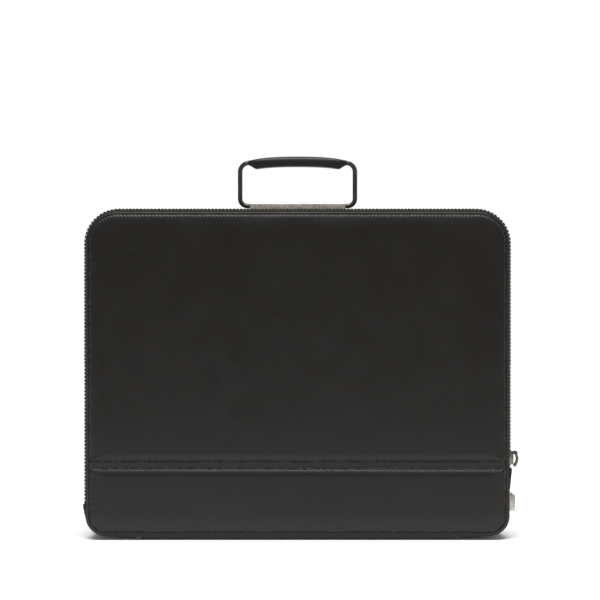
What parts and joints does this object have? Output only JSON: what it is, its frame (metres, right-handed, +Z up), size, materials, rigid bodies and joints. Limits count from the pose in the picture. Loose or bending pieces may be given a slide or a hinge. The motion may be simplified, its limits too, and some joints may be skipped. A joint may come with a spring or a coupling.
{
  "type": "briefcase",
  "caption": "Slim padded leather briefcase with a zip over its top and sides, metal feet, and a grip on a wire loop that turns in a ribbed metal bar.",
  "frame": {"origin": "on the floor, under the middle of the overall box", "axes": "+X to the right of the front, front face towards -Y, +Z up"},
  "size_m": [0.4114, 0.0696, 0.3638],
  "materials": {
    "case_leather": "fine smooth grain, satin",
    "grip_leather": "smooth, satin",
    "zip_tape": "woven",
    "zip_metal": "dark antique",
    "nickel": "satin warm nickel",
    "bar_metal": "ribbed warm nickel",
    "coated_wire": "black gloss coating"
  },
  "bodies": {
    "case": {"front_upper_panel": "case_leather", "front_lower_panel": "case_leather", "front_seam_band": "case_leather", "back_panel": "case_leather", "front_binding": "case_leather", "back_binding": "case_leather", "zip_tape_front": "zip_tape", "zip_chain": "zip_metal", "zip_tape_rear": "zip_tape", "rear_gusset": "case_leather", "base_gusset": "case_leather", "zip_tab_left": "case_leather", "zip_tab_right": "case_leather", "lock_block": "nickel", "zip_slider": "nickel", "foot_front_left": "zip_metal", "foot_rear_left": "zip_metal", "foot_front_right": "zip_metal", "foot_rear_right": "zip_metal", "handle_bar": "bar_metal"},
    "handle": {"handle_wire": "coated_wire", "handle_grip": "grip_leather"},
    "puller": {"zip_puller": "nickel"}
  },
  "joints": [
    {"name": "handle_swing", "type": "hinge", "parent": "case", "child": "handle", "pos_m": [-0.00351, 0, 0.3162], "axis": [1, 0, 0], "range_deg": [-90, 90]},
    {"name": "puller_swing", "type": "hinge", "parent": "case", "child": "puller", "pos_m": [0.20294, -0.02, 0.0813], "axis": [0, -1, 0], "range_deg": [0, 150]}
  ]
}
